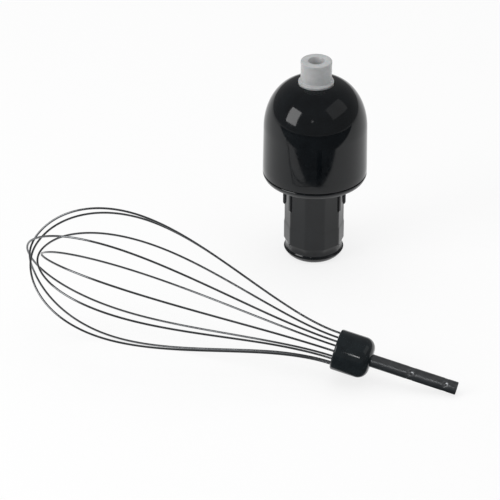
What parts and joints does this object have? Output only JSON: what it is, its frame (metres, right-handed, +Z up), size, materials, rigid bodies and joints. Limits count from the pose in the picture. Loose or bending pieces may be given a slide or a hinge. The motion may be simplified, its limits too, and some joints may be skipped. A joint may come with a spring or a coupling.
{
  "type": "immersion blender whisk attachment",
  "caption": "Balloon whisk of sprung steel wires on a black collar and steel drive shaft, beside its domed gear adapter with a faceted neck and a grey output socket.",
  "frame": {"origin": "on the floor under the middle of the set's bounding box", "axes": "+Z up along the standing adapter's axis, -Y towards the camera, whisk lying in front with its balloon towards -X"},
  "size_m": [0.2016, 0.1588, 0.107],
  "materials": {
    "black_gloss": "gloss",
    "grey_socket": "satin",
    "white_liner": "satin",
    "wire_steel": "polished",
    "shaft_steel": "polished",
    "gear_plastic": "satin",
    "ring_plastic": "matt",
    "bronze": "sintered",
    "seal_rubber": "matt",
    "gear_steel": "ground",
    "screw_steel": "zinc plated"
  },
  "bodies": {
    "housing": {"dome_housing": "black_gloss", "neck_moulding": "black_gloss", "ring_gear": "ring_plastic", "bearing_plate": "ring_plastic", "plate_screw_1": "screw_steel", "plate_screw_2": "screw_steel", "plate_screw_3": "screw_steel", "lower_bush": "bronze", "upper_bush": "bronze", "shaft_seal": "seal_rubber", "whisk_collar": "black_gloss", "drive_shaft": "shaft_steel", "wire_loop_1": "wire_steel", "wire_loop_2": "wire_steel", "wire_loop_3": "wire_steel", "wire_loop_4": "wire_steel", "wire_loop_5": "wire_steel"},
    "output": {"output_socket": "grey_socket", "socket_liner": "white_liner", "output_snap_ring": "gear_steel", "planet_carrier": "gear_plastic", "planet_pin_1": "gear_steel", "planet_pin_2": "gear_steel", "planet_pin_3": "gear_steel"},
    "input": {"input_coupling": "gear_plastic", "input_shaft": "gear_steel", "sun_gear": "gear_steel", "input_snap_ring": "gear_steel"},
    "planet_1": {"planet_gear_1": "gear_plastic"},
    "planet_2": {"planet_gear_2": "gear_plastic"},
    "planet_3": {"planet_gear_3": "gear_plastic"}
  },
  "joints": [
    {"name": "output_spin", "type": "hinge", "parent": "housing", "child": "output", "pos_m": [0.03674, 0.05343, 0.06], "axis": [0, 0, 1], "continuous": true},
    {"name": "input_spin", "type": "hinge", "parent": "housing", "child": "input", "pos_m": [0.03674, 0.05343, 0.06], "axis": [0, 0, 1], "continuous": true},
    {"name": "planet_1_spin", "type": "hinge", "parent": "output", "child": "planet_1", "pos_m": [0.04829, 0.05343, 0.056], "axis": [0, 0, 1], "continuous": true},
    {"name": "planet_2_spin", "type": "hinge", "parent": "output", "child": "planet_2", "pos_m": [0.03096, 0.06344, 0.056], "axis": [0, 0, 1], "continuous": true},
    {"name": "planet_3_spin", "type": "hinge", "parent": "output", "child": "planet_3", "pos_m": [0.03096, 0.04343, 0.056], "axis": [0, 0, 1], "continuous": true}
  ],
  "couplings": [
    {"joint": "input_spin", "follows": "output_spin", "ratio": 4.4},
    {"joint": "planet_1_spin", "follows": "output_spin", "ratio": -2.8333},
    {"joint": "planet_2_spin", "follows": "output_spin", "ratio": -2.8333},
    {"joint": "planet_3_spin", "follows": "output_spin", "ratio": -2.8333}
  ]
}
